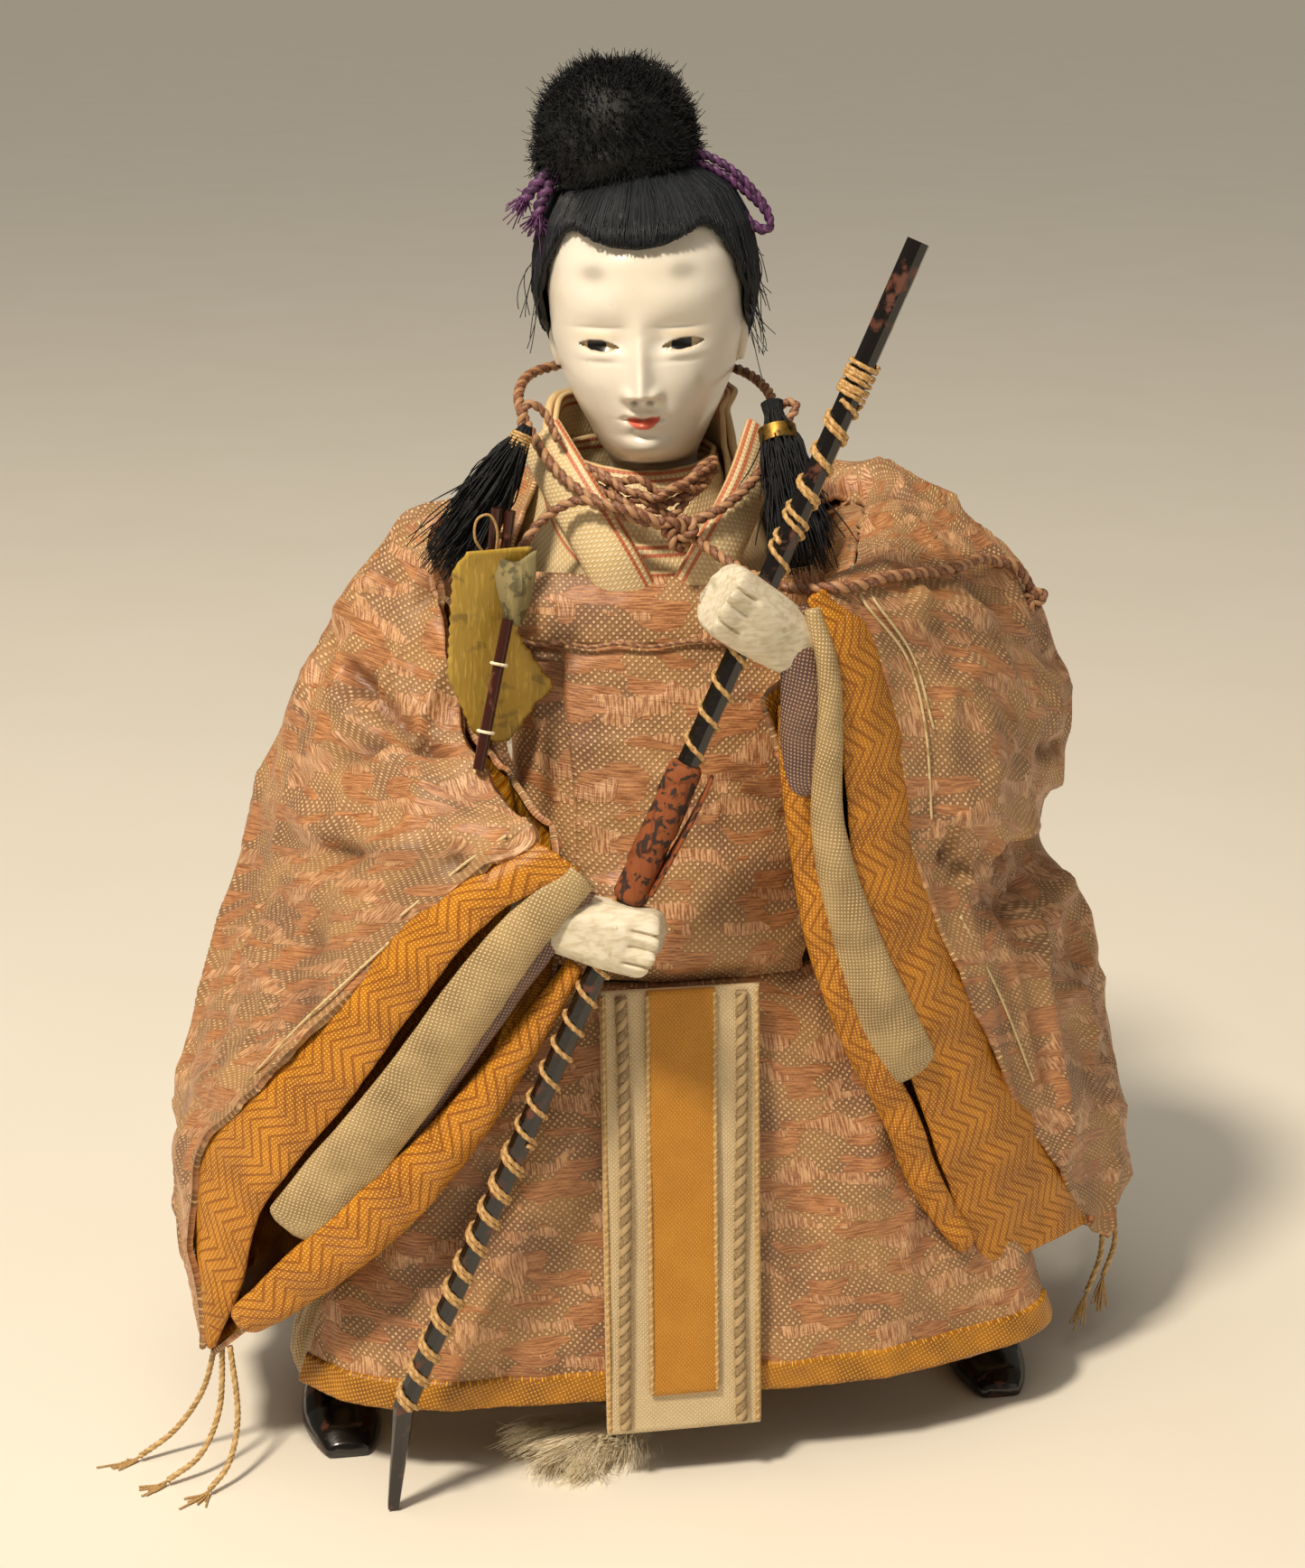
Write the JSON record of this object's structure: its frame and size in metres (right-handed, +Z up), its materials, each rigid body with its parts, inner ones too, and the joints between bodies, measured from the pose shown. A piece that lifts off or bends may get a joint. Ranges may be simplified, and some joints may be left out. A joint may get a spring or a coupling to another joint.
{
  "type": "court guard doll",
  "caption": "Seated court-guard doll holding a bow: straw body with wire arms, layered brocade robes, carved hands and a peg-mounted head with hair tassels.",
  "frame": {"origin": "centre of the underside of the round base board, on the surface that the doll stands on", "axes": "+Z up through the body and head; the doll faces -Y; +X is the doll's own left"},
  "size_m": [0.1491, 0.0818, 0.1844],
  "materials": {
    "dark_wood": "matt stained wood",
    "bare_wood": "plain matt wood",
    "straw": "dry rice straw",
    "thread": "plain thread",
    "wadding": "soft paper wadding",
    "cream_silk": "ribbed cream silk",
    "cream_brocade": "cream and gold brocade",
    "black_lacquer": "black lacquer on wood",
    "brocade": "dusty pink silk brocade with copper floats",
    "gold_binding": "gold silk binding",
    "dark_silk": "dark silk",
    "gold_ribbon": "ribbed gold silk ribbon",
    "grey_cord": "olive grey twisted cord",
    "iron_wire": "annealed iron wire",
    "orange_silk": "orange gold figured twill",
    "purple_silk": "purple brown silk",
    "carved_wood": "whitened carved wood",
    "red_leather": "rust red mottled leather",
    "cane": "split cane",
    "gilt_card": "worn gilt card",
    "brown_lacquer": "brown lacquered sticks",
    "brown_cord": "twisted silk cord",
    "black_hair": "combed black silk hair",
    "brass_band": "aged brass strip",
    "gofun": "polished shell white over wood",
    "eye_glass": "black glass",
    "purple_cord": "twisted purple silk",
    "straw_thread": "braided silk thread",
    "pale_fibre": "pale loose fibre"
  },
  "bodies": {
    "torso": {"base_board": "dark_wood", "seat_block": "bare_wood", "straw_core": "straw", "core_ties": "thread", "body_padding": "wadding", "leg_right": "bare_wood", "leg_left": "bare_wood", "hakama_right": "cream_silk", "hakama_left": "cream_silk", "shoe_right": "black_lacquer", "shoe_left": "black_lacquer", "skirt_front": "brocade", "skirt_hem": "gold_binding", "robe_back": "brocade", "bodice": "brocade", "bib": "brocade", "yoke": "brocade", "waist_belt": "dark_silk", "collar_inner": "cream_brocade", "collar_outer": "cream_brocade", "arm_wire_right": "iron_wire", "arm_wire_left": "iron_wire", "arm_padding_right": "wadding", "arm_padding_left": "wadding", "sleeve_right": "brocade", "sleeve_left": "brocade", "sleeve_lining_right": "orange_silk", "sleeve_lining_left": "orange_silk", "inner_sleeve_right": "cream_silk", "inner_sleeve_left": "cream_silk", "cuff_right": "purple_silk", "cuff_left": "purple_silk", "hand_right": "carved_wood", "hand_left": "carved_wood", "quiver_board": "gilt_card", "quiver_arrows": "brown_lacquer", "arrow_ties": "thread", "neck_cord": "brown_cord", "throat_knot": "brown_cord", "neck_cord_tail": "brown_cord", "sleeve_cords_right": "straw_thread", "sleeve_cords_left": "straw_thread", "wadding_tuft": "pale_fibre"},
    "peg": {"neck_peg": "bare_wood"},
    "head": {"head": "gofun", "eye_right": "eye_glass", "eye_left": "eye_glass", "hair_cap": "black_hair", "topknot": "black_hair", "hair_cord": "purple_cord"},
    "bow": {"bow_stave": "black_lacquer", "bow_grip": "red_leather", "bow_wraps": "cane", "bow_top_binding": "cane"},
    "sash": {"sash_backing": "cream_silk", "sash_strip": "gold_ribbon", "sash_cords": "grey_cord"},
    "tassel_right": {"tassel_right": "black_hair"},
    "tassel_left": {"tassel_left": "black_hair", "tassel_band": "brass_band"}
  },
  "joints": [
    {"name": "head_lift", "type": "slide", "parent": "torso", "child": "peg", "axis": [0, 0, 1], "range_m": [0, 0.024]},
    {"name": "head_turn", "type": "hinge", "parent": "peg", "child": "head", "pos_m": [-0.0008, 0, 0.125], "axis": [0, 0, 1], "range_deg": [-25, 25]},
    {"name": "bow_slide", "type": "slide", "parent": "torso", "child": "bow", "axis": [0.3972, 0, 0.9178], "range_m": [0, 0.012]},
    {"name": "sash_swing", "type": "hinge", "parent": "torso", "child": "sash", "pos_m": [-0.0011, -0.0359, 0.0695], "axis": [-1, 0, 0], "range_deg": [0, 45]},
    {"name": "tassel_right_swing", "type": "hinge", "parent": "torso", "child": "tassel_right", "pos_m": [-0.0176, -0.0145, 0.1396], "axis": [0, 1, 0], "range_deg": [0, 50]},
    {"name": "tassel_left_swing", "type": "hinge", "parent": "torso", "child": "tassel_left", "pos_m": [0.0146, -0.0155, 0.1398], "axis": [-1, 0, 0], "range_deg": [0, 35]}
  ]
}
